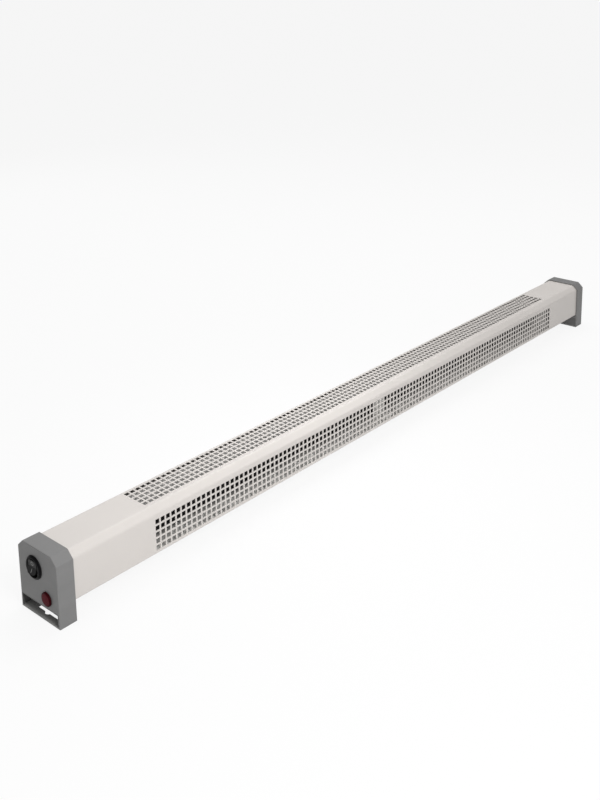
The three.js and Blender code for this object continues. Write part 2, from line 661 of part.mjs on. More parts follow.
// Routes are chosen by hand. Each wire ends a gap short of what it is joined to.
function addWires() {
  const switchTab = tabEnd + gap;
  const poleMouth = blockFront + 1.3 - gap;
  const cutoutTab = bracketStart - cutoutTabReach - 2 * gap;
  const loadZ = switchZ + contactOffset;
  const sideBySide = 1.25; // two thin wires share the neutral pole
  const neutralPole = poleAlong(1);
  addPart('live_wire', wire([
    [poleAlong(0), poleMouth, poleZ], [poleAlong(0), 5, poleZ], [56, 2, 34], [44, 3.5, 46],
    [34, switchY, switchZ], [switchTab, switchY, switchZ],
  ], wireRadius), brownWire);
  addPart('switched_wire', wire([
    [switchTab, switchY, loadZ], [34, 4.3, 55], [50, -4, 56], [80, cutoutY, 55.2],
    [90, cutoutY, cutoutZ + cutoutTabZ], [cutoutTab, cutoutY, cutoutZ + cutoutTabZ],
  ], wireRadius), brownWire);
  addPart('element_feed_wire', wire([
    [cutoutTab, cutoutY, cutoutZ - cutoutTabZ], [90, cutoutY, 48.4], [80, -11, 46], [74, -6, 41.5],
    [76, -1, 38.3], [studStart - gap, 0, elementZ],
  ], wireRadius), brownWire);
  addPart('neutral_wire', wire([
    [neutralPole + sideBySide, poleMouth, poleZ], [neutralPole + sideBySide, 5.6, 28.8], [76, 3.5, 25],
    [86, 4, 24.2], [94, 10, 24.6], [102, 18, 25.4], [108, neutralY, 25.5], [114, neutralY, 25.5],
    [924, neutralY, 25.5], [930, neutralY, 25.5], [942, neutralY, 25.5], [952, 18, 27.5], [961, 12, 33],
    [964, 5, 36.5], [960, 0, elementZ], [overallLength - studStart + gap, 0, elementZ],
  ], wireRadius - 0.1), blueWire);
  addPart('lamp_live_wire', wire([
    [lampBarrelLength + gap, lampY - 1.5, lampZ], [18, -14.2, 24.6], [26, -12, 32], [27, -6, 42],
    [24, -3, 51.5], [24, -1, loadZ], [24, switchY - tabHalfWidth - gap, loadZ],
  ], thinWireRadius), brownWire);
  addPart('lamp_neutral_wire', wire([
    [bulbLength + gap, lampY + 1.7, lampZ], [16, lampY + 1.7, lampZ], [28, -10.5, 24.6], [45, -8, 25],
    [64, -3, 26.5], [neutralPole - sideBySide, 5, poleZ], [neutralPole - sideBySide, poleMouth, poleZ],
  ], thinWireRadius), blueWire);
  addPart('earth_wire', wire([
    [poleAlong(2), poleMouth, poleZ], [poleAlong(2), 5, poleZ], [77, -4, 27], [76, -13, 24.8],
    [81, earthScrewY, 24.2], [earthScrewX - 8 - gap, earthScrewY, 24.2],
  ], wireRadius), greenWire);
}

function addGrommet() {
  const inside = width / 2 - casingInset - sheet - gap;
  const outside = width / 2 - casingInset + gap;
  const bore = 3.8;
  const lip = 8;
  const groove = grommetHole - gap;
  const profile = [[bore, inside - 1.6], [lip - 0.6, inside - 1.6], [lip, inside - 1], [lip, inside],
    [groove, inside], [groove, outside], [lip, outside], [lip, outside + 0.7], [lip - 0.6, outside + 1.3],
    [bore, outside + 1.3], [bore, inside - 1.6]];
  addPart('inlet_grommet', turned('y', profile, [fromLeft(grommetX), 0, grommetZ], 16), rubber);
}

addCaps();
addCasing();
addBottomCover();
addSwitchHousing();
addRocker();
addContacts();
addLamp();
addElement();
addBrackets();
addMiddleSupport();
addCutout();
addTerminalBlock();
addEarth();
addWires();
addGrommet();

export default group;
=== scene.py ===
"""Looks of a plinth heater: painted perforated casing, moulded end caps, switch and lamp.

Metres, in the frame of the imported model: +X runs along the heater away from the switch,
-Y towards the room and +Z up, with the origin on the floor below the middle.
"""
import math

import bmesh
import bpy
from mathutils import Matrix, Vector


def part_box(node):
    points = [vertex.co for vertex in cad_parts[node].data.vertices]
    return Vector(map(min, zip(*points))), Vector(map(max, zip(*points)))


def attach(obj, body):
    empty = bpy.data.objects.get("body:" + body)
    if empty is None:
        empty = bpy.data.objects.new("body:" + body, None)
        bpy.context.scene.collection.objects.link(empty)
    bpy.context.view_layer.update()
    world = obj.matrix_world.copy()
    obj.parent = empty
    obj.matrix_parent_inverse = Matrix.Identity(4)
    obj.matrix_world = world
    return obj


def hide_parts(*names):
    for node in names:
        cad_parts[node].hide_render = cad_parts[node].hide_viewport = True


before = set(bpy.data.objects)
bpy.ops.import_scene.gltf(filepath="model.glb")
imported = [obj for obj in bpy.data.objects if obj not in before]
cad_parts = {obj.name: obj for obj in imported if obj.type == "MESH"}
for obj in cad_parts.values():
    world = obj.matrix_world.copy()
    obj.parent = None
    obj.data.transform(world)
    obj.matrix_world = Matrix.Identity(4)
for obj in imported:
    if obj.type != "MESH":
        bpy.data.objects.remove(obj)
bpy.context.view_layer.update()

MM = 0.001

# ---- Camera -------------------------------------------------------------------------

IMAGE_HEIGHT = 800  # of the photograph, whose height is its longer side
FOCAL_PIXELS = 1031.6  # the photograph's focal length
AXIS_ROW = 180  # the row of pixels that the lens looks straight at
SENSOR = 36  # in the camera's own millimetres, along the longer side
CAMERA_PLACE = (-0.9949, -0.7511, 0.5995)
CAMERA_BEARING = 48.790  # degrees from +Y towards +X
CAMERA_DROP = 12.205  # degrees below the horizon
CAMERA_ROLL = 0.784


def add_camera():
    data = bpy.data.cameras.new("camera")
    data.sensor_width = SENSOR
    data.lens = FOCAL_PIXELS * SENSOR / IMAGE_HEIGHT
    data.shift_y = (AXIS_ROW - IMAGE_HEIGHT / 2) / IMAGE_HEIGHT
    data.clip_start = 0.05
    camera = bpy.data.objects.new("camera", data)
    camera.location = CAMERA_PLACE
    turns = (90 - CAMERA_DROP, CAMERA_ROLL, -CAMERA_BEARING)
    camera.rotation_euler = [math.radians(turn) for turn in turns]
    bpy.context.scene.collection.objects.link(camera)
    bpy.context.scene.camera = camera


add_camera()

# ---- Sizes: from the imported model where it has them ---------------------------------

CAP_LOW, CAP_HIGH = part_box("left_end_cap")
CASING_LOW, CASING_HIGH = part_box("casing_shell")
LEFT_END = CAP_LOW.x
RIGHT_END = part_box("right_end_cap")[1].x
CAP_DEPTH = CAP_HIGH.x - CAP_LOW.x
SHEET = 0.8 * MM
FLANGE = 9 * MM
CHAMFER_WIDTH, CHAMFER_HEIGHT = 8 * MM, 7.5 * MM  # of the caps' top edges
FOLD = 1.5 * MM  # how far the sheet's bends reach along its outside
BOTTOM_FOLD = 1.0 * MM

HOLE_PITCH = 7 * MM
HOLE_SIDE = 5.2 * MM
HOLE_ROWS = 5
HOLE_COLUMNS = 116
FRONT_FIRST_HOLE = LEFT_END + 121.5 * MM
FRONT_TOP_ROW = 54.8 * MM
TOP_FIRST_HOLE = LEFT_END + 119.8 * MM
TOP_BACK_ROW = 15.5 * MM

GAP = 0.3 * MM  # between pieces that touch on the real heater
HAIR = 0.01 * MM  # within which two places count as the same
MERGE, PACKED_MERGE = 1e-7, 1e-6  # within which two points become one
FACING = 0.99  # least cosine between a face's normal and the way that it faces
# Degrees by which faces turn where they count as one flat face, and at edges to be rounded.
FLAT, DISHED_SHARP, SHARP, SQUARE = 1, 20, 30, 50

CAP_ROUNDING = 0.8 * MM
EDGE_BREAK = 0.25 * MM
FOOT_FLOOR, FOOT_ROOF = 1.7 * MM, 15.4 * MM  # of the hollow in each cap's foot
FOOT_HALF = 28.7 * MM  # half the width of its window
PLATE_LIGHT_FROM = 1.3 * MM  # just under the top of the foot's plate, from where the plate is painted light

SWITCH = Vector((LEFT_END, 4.7 * MM, 50.6 * MM))  # its middle, on the cap's end face
BEZEL_ROUNDING = 0.28 * MM
ROCKER_PIVOT = 4.5 * MM  # from the end face in to the pin
ROCKER_TILT = math.radians(10)  # at rest, and as much the other way when switched
ROCKER_EDGE = 8.2 * MM  # from the pivot out to the plate's raised ends
ROCKER_DIP = 1.6 * MM  # from there back to the plate's middle
ROCKER_HALF_LENGTH = 6.6 * MM
ROCKER_LIP = 3.6 * MM  # from the pivot out to the plate's underside
ROCKER_ROUNDING = 0.4 * MM
MARK_HEIGHT = 3.4 * MM  # from the rocker's middle to each of its marks
MARK_LENGTH, MARK_LINE, MARK_THICKNESS = 4 * MM, 0.6 * MM, 0.06 * MM

LAMP = Vector((LEFT_END, -12.65 * MM, 25.2 * MM))  # its middle, on the cap's end face
LAMP_RADIUS = 7.2 * MM
LAMP_FACE_RADIUS = 5.7 * MM  # of the lens inside its ring of painted shade
# How far the lens stands out, as (radius, distance) points from its middle to its rim.
LAMP_FACE = [(0, -2.4 * MM), (5.6 * MM, -2.25 * MM), (LAMP_RADIUS - 0.1 * MM, -1.7 * MM)]
LAMP_ROUNDING = 0.6 * MM
LAMP_BARREL_RADIUS, LAMP_BARREL_END = 4.8 * MM, 13 * MM
LAMP_BORE, LAMP_BORE_START = 3.5 * MM, -0.6 * MM

GROMMET = Vector((LEFT_END + 45 * MM, CASING_HIGH.y, 40 * MM))  # on the back wall
GROMMET_HOLE = 6.3 * MM  # the radius of the hole in the sheet
GROMMET_BORE, GROMMET_GROOVE = 3.8 * MM, 6 * MM
GROMMET_INNER_LIP, GROMMET_FLANGE = 1.6 * MM, 1.3 * MM
GROMMET_ROUNDING = 0.5 * MM

# ---- Patterns, background and light -------------------------------------------------

WHITE = (1, 1, 1, 1)
PLATE_LIGHT_GREY = (0.42, 0.42, 0.41, 1)
SHADE_BROWN = (0.035, 0.030, 0.026, 1)
EARTH_YELLOW = (0.70, 0.60, 0.03, 1)
SHADE_FROM, SHADE_DEPTH = 58.5 * MM, 5 * MM  # heights of the painted shade inside the casing
LENS_PITCH = 1.3 * MM
SPANGLE = 7 * MM  # the size of the zinc's grains
STRIPE_PERIOD, STRIPE_HALF = 6 * MM, 1.5 * MM

FLOOR_HALF = 30
FLOOR_DROP = 0.05 * MM
FLOOR_GREY = 0.82
FLOOR_WHITENESS = 0.88  # the share of plain white in what the camera sees of the floor
SURROUND = 0.40  # the strength of the even light from all round
ALL_ROUND = 180  # a beam as wide as a half sphere, in degrees
SOFTBOXES = [  # name, place, target, size, power, beam
    ("key", (-0.6, -0.8, 0.8), (-0.4, 0, 0.05), 0.3, 5.8, ALL_ROUND),
    ("near", (-0.55, -0.45, 0.9), (-0.4, 0, 0.05), 0.3, 0.78, ALL_ROUND),
    ("middle", (-0.12, 0.04, 0.7), (-0.12, 0, 0.05), 0.3, 0.17, 60),
    ("overhead", (0.6, 0.3, 1.4), (0.5, 0, 0.05), 1.0, 9.0, ALL_ROUND),
    ("back", (0.4, 1.7, 0.9), (0.1, 0, 0.05), 1.0, 3.0, ALL_ROUND),
]

# ---- Shader maths -------------------------------------------------------------------


class Value:
    """A shader output that takes part in sums, products and comparisons."""

    def __init__(self, nodes, socket):
        self.nodes = nodes
        self.socket = socket

    def join(self, operation, first, second, clamp=False):
        settings = {"operation": operation, "use_clamp": clamp}
        return self.nodes.node("ShaderNodeMath", settings, {0: first, 1: second})

    def __add__(self, other):
        return self.join("ADD", self, other)

    def __radd__(self, other):
        return self.join("ADD", other, self)

    def __sub__(self, other):
        return self.join("SUBTRACT", self, other)

    def __rsub__(self, other):
        return self.join("SUBTRACT", other, self)

    def __mul__(self, other):
        return self.join("MULTIPLY", self, other)

    def __rmul__(self, other):
        return self.join("MULTIPLY", other, self)

    def __gt__(self, other):
        return self.join("GREATER_THAN", self, other)

    def __lt__(self, other):
        return self.join("LESS_THAN", self, other)

    def size(self):
        return self.join("ABSOLUTE", self, 0)

    def at_most(self, other):
        return self.join("MINIMUM", self, other)

    def at_least(self, other):
        return self.join("MAXIMUM", self, other)

    def repeat(self, period):
        """Distance to the nearest whole multiple of the period, from 0 to half of it."""
        return self.join("PINGPONG", self, period / 2)

    def clamped(self):
        return self.join("ADD", self, 0.0, clamp=True)


class Nodes:
    """A node tree that grows by one node at a time."""

    def __init__(self, tree):
        self.tree = tree

    def node(self, kind, settings=None, inputs=None, output=0):
        made = self.tree.nodes.new(kind)
        for name, value in (settings or {}).items():
            setattr(made, name, value)
        for name, value in (inputs or {}).items():
            if isinstance(value, Value):
                self.tree.links.new(value.socket, made.inputs[name])
            else:
                made.inputs[name].default_value = value
        return Value(self, made.outputs[output])

    def first(self, name):
        """The output of a node that the tree already has."""
        return Value(self, self.tree.nodes[name].outputs[0])

    def end(self, name, value):
        """Links a shader to the tree's output node."""
        self.tree.links.new(value.socket, self.tree.nodes[name].inputs["Surface"])

    def rays(self, kind):
        """1 for rays of the given kind, and 0 for all others."""
        return self.node("ShaderNodeLightPath", output=kind)


class Finish(Nodes):
    """A node material. Even values sit on the shader's sockets, and patterns feed them."""

    def __init__(self, name, color, roughness, **even):
        self.material = bpy.data.materials.new(name)
        self.material.use_nodes = True
        super().__init__(self.material.node_tree)
        self.shader = self.tree.nodes["Principled BSDF"]
        self.color = color
        self.material.diffuse_color = (*color, 1)
        self.shader.inputs["Base Color"].default_value = (*color, 1)
        self.shader.inputs["Roughness"].default_value = roughness
        for socket, value in even.items():
            self.shader.inputs[socket.replace("_", " ")].default_value = value

    def feed(self, socket, value):
        """Lets a pattern drive one of the shader's sockets."""
        self.tree.links.new(value.socket, self.shader.inputs[socket])

    def place(self):
        """Object coordinates."""
        return self.node("ShaderNodeTexCoord", output="Object")

    def stretched(self, scale):
        """Object coordinates, scaled apart along each axis."""
        inputs = {"Vector": self.place(), "Scale": scale}
        return self.node("ShaderNodeMapping", inputs=inputs)

    def axes(self):
        """The three object coordinates as numbers."""
        split = self.node("ShaderNodeSeparateXYZ", inputs={0: self.place()})
        return [Value(self, output) for output in split.socket.node.outputs]

    def noise(self, size, detail=2.0, vector=None, rough=0.5):
        """Smooth noise from 0 to 1 with lumps of about the given size, in metres."""
        inputs = {"Scale": 1 / size, "Detail": detail, "Roughness": rough}
        inputs["Vector"] = vector or self.place()
        return self.node("ShaderNodeTexNoise", inputs=inputs)

    def shade(self, amount, low, high):
        """The finish's own colour, multiplied by low where amount is 0 and high where 1."""
        dark = (*(channel * low for channel in self.color), 1)
        light = (*(min(1, channel * high) for channel in self.color), 1)
        return self.mix(amount, dark, light)

    def mix(self, factor, first, second):
        settings = {"data_type": "RGBA"}
        inputs = {0: factor, 6: first, 7: second}
        return self.node("ShaderNodeMix", settings, inputs, output=2)

    def bump(self, height, distance, strength):
        inputs = {"Height": height, "Distance": distance, "Strength": strength}
        self.feed("Normal", self.node("ShaderNodeBump", inputs=inputs))


# ---- Finishes -----------------------------------------------------------------------


def powder_coat():
    """Warm light grey powder paint: orange peel, fine speckle and a trace of cloudiness."""
    finish = Finish("powder_coat", (0.672, 0.636, 0.606), 0.45, Specular_IOR_Level=0.3)
    cloud = finish.noise(60 * MM, 3.0)
    speckle = finish.noise(0.35 * MM, 1.0)
    finish.feed("Base Color", finish.shade(cloud * 0.6 + speckle * 0.4, 0.95, 1.05))
    finish.feed("Roughness", 0.34 + 0.16 * finish.noise(3 * MM))
    peel = finish.noise(1.6 * MM, 2.0) + 0.35 * finish.noise(0.4 * MM, 1.0)
    finish.bump(peel, 0.05 * MM, 0.5)
    return finish.material


def moulded_grey():
    """Mid grey moulded plastic: fine spark-eroded texture, faint flow marks, painted shade
    inside the feet, and painted light, in streaks, on the top of the foot's plate."""
    finish = Finish("moulded_grey", (0.205, 0.204, 0.203), 0.5, Specular_IOR_Level=0.3)
    _, across, up = finish.axes()
    flow = finish.noise(1.0, 3.0, finish.stretched((18, 60, 110)))
    grain = finish.noise(0.28 * MM, 2.0)
    under_window = FOOT_HALF > across.size()
    # Painted shade: the colour is darkened inside each foot's hollow, where little light
    # reaches.
    painted_foot_shade = (FOOT_ROOF > up) * (up > FOOT_FLOOR) * under_window
    tone = 0.75 + 0.16 * flow + 0.09 * grain - 0.4 * painted_foot_shade
    moulded = finish.shade(tone, 0.2, 1.16)
    # Painted light: the top of the foot's plate is lightened in colour, in streaks.
    painted_light_mask = (FOOT_FLOOR > up) * (up > PLATE_LIGHT_FROM) * under_window
    streaks = finish.noise(1.0, 2.0, finish.stretched((1500, 60, 60)))
    worn = painted_light_mask * (0.35 + 0.9 * streaks)
    finish.feed("Base Color", finish.mix(worn, moulded, PLATE_LIGHT_GREY))
    finish.feed("Roughness", 0.42 + 0.18 * grain)
    finish.bump(grain, 0.06 * MM, 0.6)
    return finish.material


def galvanised():
    """Zinc-coated sheet: grains of mixed brightness, drawn a little along the sheet."""
    finish = Finish("galvanised", (0.76, 0.75, 0.72), 0.5, Metallic=0.2)
    inputs = {"Vector": finish.stretched((0.6, 1, 1)), "Scale": 1 / SPANGLE}
    spangle = finish.node("ShaderNodeTexVoronoi", inputs=inputs, output="Color")
    grey = finish.node("ShaderNodeSeparateColor", inputs={0: spangle})
    finish.feed("Base Color", finish.shade(grey, 0.8, 1.15))
    finish.feed("Roughness", 0.32 + 0.2 * grey)
    finish.bump(finish.noise(0.8 * MM, 3.0), 0.02 * MM, 0.4)
    return finish.material


def bare_zinc():
    """The casing's unpainted inside: bright dull zinc, dark brown above the element as painted
    shade.
    """
    finish = Finish("bare_zinc", (0.93, 0.92, 0.89), 0.6, Specular_IOR_Level=0.3)
    drawn = finish.noise(1.0, 3.0, finish.stretched((12, 300, 300)))
    up = finish.axes()[2] + 4 * MM * drawn
    # Painted shade: above a set height the inside turns dark brown.
    painted_shade = (up * (1 / SHADE_DEPTH) - (SHADE_FROM / SHADE_DEPTH)).clamped()
    clean = finish.shade(drawn, 0.92, 1.04)
    finish.feed("Base Color", finish.mix(painted_shade, clean, SHADE_BROWN))
    finish.feed("Roughness", 0.5 + 0.2 * drawn)
    return finish.material


def gloss_black():
    """Black glossy switch plastic with a slight haze of fine scratches."""
    finish = Finish("gloss_black", (0.0045, 0.0045, 0.005), 0.3, Specular_IOR_Level=0.05)
    haze = finish.noise(0.9 * MM, 4.0, rough=0.7)
    finish.feed("Base Color", finish.shade(haze, 0.6, 1.8))
    finish.feed("Roughness", 0.22 + 0.18 * haze)
    finish.bump(finish.noise(1.8 * MM, 1.0), 0.02 * MM, 0.35)
    return finish.material


def satin_black():
    """Black switch plastic, a little greyer and duller than the bezel's."""
    finish = Finish("satin_black", (0.006, 0.006, 0.0062), 0.45, Specular_IOR_Level=0.2)
    haze = finish.noise(0.7 * MM, 4.0, rough=0.7)
    finish.feed("Base Color", finish.shade(haze, 0.6, 1.6))
    finish.feed("Roughness", 0.36 + 0.18 * haze)
    finish.bump(finish.noise(0.5 * MM, 2.0), 0.02 * MM, 0.35)
    return finish.material


def lamp_red():
    """Dark red translucent lens: a pressed grid of small pyramids, with painted shade round its
    rim.
    """
    finish = Finish("lamp_red", (0.076, 0.0035, 0.008), 0.4, Specular_IOR_Level=0.03, IOR=1.49)
    _, across, up = finish.axes()
    rising, falling = (across + up).repeat(LENS_PITCH), (across - up).repeat(LENS_PITCH)
    ridge = rising.at_most(falling) * (2 / LENS_PITCH)
    mottle = finish.noise(2.2 * MM, 2.0)
    aside, above = across - LAMP.y, up - LAMP.z
    # Painted shade: the lens is darkened in a ring round its rim.
    rim_shade = (aside * aside + above * above) > LAMP_FACE_RADIUS * LAMP_FACE_RADIUS
    tone = 0.6 * ridge + 0.6 * mottle - 0.9 * rim_shade
    finish.feed("Base Color", finish.shade(tone, 0.45, 1.9))
    finish.feed("Roughness", 0.3 + 0.16 * mottle)
    finish.bump(ridge, 0.25 * MM, 0.4)
    return finish.material


def plain_metal(name, color, roughness):
    """Bright metal with drawn streaks and a little tarnish."""
    finish = Finish(name, color, roughness, Metallic=0.95)
    drawn = finish.noise(1.0, 3.0, finish.stretched((40, 900, 900)))
    tarnish = finish.noise(4 * MM, 3.0)
    finish.feed("Base Color", finish.shade(0.5 * drawn + 0.5 * tarnish, 0.75, 1.15))
    finish.feed("Roughness", roughness - 0.1 + 0.25 * tarnish)
    finish.bump(drawn, 0.01 * MM, 0.5)
    return finish.material


def black_aluminium():
    """Blackened extruded aluminium: matt, with die lines along the bar."""
    finish = Finish("black_aluminium", (0.007, 0.007, 0.0075), 0.6, Specular_IOR_Level=0.15)
    lines = finish.noise(1.0, 2.0, finish.stretched((6, 1400, 1400)))
    dust = finish.noise(5 * MM, 4.0)
    finish.feed("Base Color", finish.shade(0.4 * lines + 0.6 * dust, 0.6, 1.8))
    finish.feed("Roughness", 0.5 + 0.25 * dust)
    finish.bump(lines, 0.03 * MM, 0.5)
    return finish.material


def fired_ceramic():
    """Pale unglazed ceramic with pores."""
    finish = Finish("fired_ceramic", (0.62, 0.59, 0.53), 0.65)
    pores = finish.noise(0.5 * MM, 3.0, rough=0.7)
    tone = finish.noise(6 * MM) * 0.5 + pores * 0.5
    finish.feed("Base Color", finish.shade(tone, 0.82, 1.08))
    finish.feed("Roughness", 0.55 + 0.2 * pores)
    finish.bump(pores, 0.08 * MM, 0.6)
    return finish.material


def insulation(name, color):
    """Wire insulation: smooth plastic with faint scuffs."""
    finish = Finish(name, color, 0.4)
    scuff = finish.noise(2.5 * MM, 3.0)
    finish.feed("Base Color", finish.shade(scuff, 0.85, 1.15))
    finish.feed("Roughness", 0.32 + 0.2 * scuff)
    finish.bump(scuff, 0.03 * MM, 0.4)
    return finish.material


def earth_insulation():
    """Green insulation with a yellow stripe that winds round the wire."""
    finish = Finish("earth_insulation", (0.08, 0.27, 0.03), 0.4)
    along, across, up = finish.axes()
    stripe = (along + across + up).repeat(STRIPE_PERIOD) > STRIPE_HALF
    finish.feed("Base Color", finish.mix(stripe, (*finish.color, 1), EARTH_YELLOW))
    finish.feed("Roughness", 0.32 + 0.2 * finish.noise(2.5 * MM))
    return finish.material


def matt_rubber():
    """Black rubber with a dusty bloom."""
    finish = Finish("matt_rubber", (0.020, 0.020, 0.020), 0.75)
    bloom = finish.noise(3 * MM, 4.0)
    finish.feed("Base Color", finish.shade(bloom, 0.7, 1.7))
    finish.feed("Roughness", 0.62 + 0.25 * bloom)
    finish.bump(finish.noise(0.35 * MM), 0.05 * MM, 0.5)
    return finish.material


def lamp_glass():
    """Clear glass of the little neon bulb, greyed a little inside."""
    finish = Finish("lamp_glass", (0.80, 0.78, 0.74), 0.08, Transmission_Weight=0.8)
    smoke = finish.noise(1.5 * MM, 2.0)
    finish.feed("Base Color", finish.shade(smoke, 0.8, 1.1))
    finish.feed("Roughness", 0.04 + 0.12 * smoke)
    return finish.material


def printed_white():
    """White printed marks, a little worn through."""
    finish = Finish("printed_white", (0.30, 0.30, 0.29), 0.5, Specular_IOR_Level=0.3)
    worn = finish.noise(0.35 * MM, 2.0)
    finish.feed("Base Color", finish.shade(worn, 0.75, 1.1))
    finish.feed("Roughness", 0.4 + 0.2 * worn)
    return finish.material


POWDER_COAT = powder_coat()
MOULDED_GREY = moulded_grey()
GALVANISED = galvanised()
BARE_ZINC = bare_zinc()
GLOSS_BLACK = gloss_black()
SATIN_BLACK = satin_black()
LAMP_RED = lamp_red()
PLATED_STEEL = plain_metal("plated_steel", (0.50, 0.50, 0.49), 0.34)
BRASS = plain_metal("brass", (0.55, 0.38, 0.14), 0.34)
BLACK_ALUMINIUM = black_aluminium()
FIRED_CERAMIC = fired_ceramic()
BROWN_INSULATION = insulation("brown_insulation", (0.10, 0.035, 0.016))
BLUE_INSULATION = insulation("blue_insulation", (0.03, 0.10, 0.32))
EARTH_INSULATION = earth_insulation()
MATT_RUBBER = matt_rubber()
LAMP_GLASS = lamp_glass()
PRINTED_WHITE = printed_white()

# ---- Making pieces ------------------------------------------------------------------


def put(bm, name, material, body="heater", stands_for=(), smooth_to=35):
    """Turns a bmesh into a piece, smooth across edges that are flatter than an angle."""
    mesh = bpy.data.meshes.new(name)
    bm.to_mesh(mesh)
    bm.free()
    for polygon in mesh.polygons:
        polygon.use_smooth = True
    mesh.set_sharp_from_angle(angle=math.radians(smooth_to))
    mesh.materials.append(material)
    piece = bpy.data.objects.new(name, mesh)
    bpy.context.scene.collection.objects.link(piece)
    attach(piece, body)
    if stands_for:
        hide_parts(*stands_for)
    return piece


def bevel_edges(bm, edges, offset, segments=3):
    bmesh.ops.bevel(bm, geom=edges, offset=offset, offset_type="OFFSET", segments=segments,
                    profile=0.5, affect="EDGES", material=-1, clamp_overlap=True)


def turned(profile, place, axis=(1, 0, 0), steps=64):
    """A profile of (radius, distance) points spun about an axis through a place."""
    bm = bmesh.new()
    points = [bm.verts.new((0, radius, along)) for radius, along in profile]
    edges = [bm.edges.new(pair) for pair in zip(points, points[1:])]
    bmesh.ops.spin(bm, geom=points + edges, cent=(0, 0, 0), axis=(0, 0, 1), angle=2 * math.pi,
                   steps=steps, use_merge=True)
    bmesh.ops.remove_doubles(bm, verts=bm.verts[:], dist=MERGE)
    bmesh.ops.recalc_face_normals(bm, faces=bm.faces[:])
    turn = Vector((0, 0, 1)).rotation_difference(Vector(axis)).to_matrix().to_4x4()
    bmesh.ops.transform(bm, matrix=Matrix.Translation(place) @ turn, verts=bm.verts[:])
    return bm


def rounded(corners, radius, steps=4):
    """A (radius, distance) profile whose inner corners are rounded off."""
    points = [Vector(corners[0])]
    for before, corner, after in zip(corners, corners[1:], corners[2:]):
        corner = Vector(corner)
        back, on = Vector(before) - corner, Vector(after) - corner
        reach = min(radius, back.length / 2.2, on.length / 2.2)  # under half of each side
        start, end = corner + back.normalized() * reach, corner + on.normalized() * reach
        for step in range(steps + 1):
            share = step / steps
            points.append(start.lerp(corner, share).lerp(corner.lerp(end, share), share))
    points.append(Vector(corners[-1]))
    return [tuple(point) for point in points]


# ---- Casing -------------------------------------------------------------------------


def draw_on(bm, edges, distance):
    """Draws the sheet on from a row of edges. Returns the edges at its new end."""
    made = bmesh.ops.extrude_edge_only(bm, edges=edges)["geom"]
    moved = [part for part in made if isinstance(part, bmesh.types.BMVert)]
    bmesh.ops.translate(bm, vec=(distance, 0, 0), verts=moved)
    return [part for part in made if isinstance(part, bmesh.types.BMEdge)]


def hole_edges(first, count, pitch):
    """Where each hole of a row starts and ends."""
    return [first + index * pitch + side * HOLE_SIDE / 2
            for index in range(count) for side in (-1, 1)]


def in_hole(place, first, count):
    """True inside the span of any of the holes that start at first."""
    index = round((place - first) / HOLE_PITCH)
    return 0 <= index < count and abs(place - first - index * HOLE_PITCH) < HOLE_SIDE / 2


def casing_section(bm):
    """The casing's folded section as a short strip, with its rows marked out. Returns the
    edges at the strip's far end, from which the sheet is drawn on."""
    side, top, foot = CASING_HIGH.y, CASING_HIGH.z, CASING_LOW.z
    inset = CAP_HIGH.y - side
    slope = math.hypot(CHAMFER_WIDTH, CHAMFER_HEIGHT)
    shoulder = CAP_HIGH.z - CHAMFER_HEIGHT - inset * (slope - CHAMFER_HEIGHT) / CHAMFER_WIDTH
    ridge = CAP_HIGH.y - CHAMFER_WIDTH - inset * (slope - CHAMFER_WIDTH) / CHAMFER_HEIGHT
    corners = [(side - FLANGE, foot), (side, foot), (side, shoulder), (ridge, top)]
    corners += [(-y, z) for y, z in reversed(corners)]
    points = [bm.verts.new((CASING_LOW.x, y, z)) for y, z in corners]
    edges = [bm.edges.new(pair) for pair in zip(points, points[1:])]
    strip_end = CASING_LOW.x + CAP_DEPTH
    draw_on(bm, edges, strip_end - CASING_LOW.x)
    folds = [edge for edge in bm.edges if len(edge.link_faces) == 2]
    bottom = [edge for edge in folds if edge.verts[0].co.z < foot + SHEET]
    bevel_edges(bm, [edge for edge in folds if edge not in bottom], FOLD, 4)
    bevel_edges(bm, [edge for edge in bottom if edge.is_valid], BOTTOM_FOLD, 4)
    for z in hole_edges(FRONT_TOP_ROW, HOLE_ROWS, -HOLE_PITCH):
        front = [face for face in bm.faces
                 if abs(face.normal.y) > FACING and face.calc_center_median().y < 0]
        split_at(bm, front, (0, 0, z), (0, 0, 1))
    for y in hole_edges(TOP_BACK_ROW, HOLE_ROWS, -HOLE_PITCH):
        above = [face for face in bm.faces if face.calc_center_median().z > top - GAP]
        split_at(bm, above, (0, y, 0), (0, 1, 0))
    return [edge for edge in bm.edges
            if all(abs(vert.co.x - strip_end) < HAIR for vert in edge.verts)]


def split_at(bm, faces, place, normal):
    """Cuts faces in two where a plane runs through them."""
    parts = set(faces)
    for face in faces:
        parts.update(face.edges, face.verts)
    bmesh.ops.bisect_plane(bm, geom=list(parts), dist=MERGE, plane_co=place, plane_no=normal)


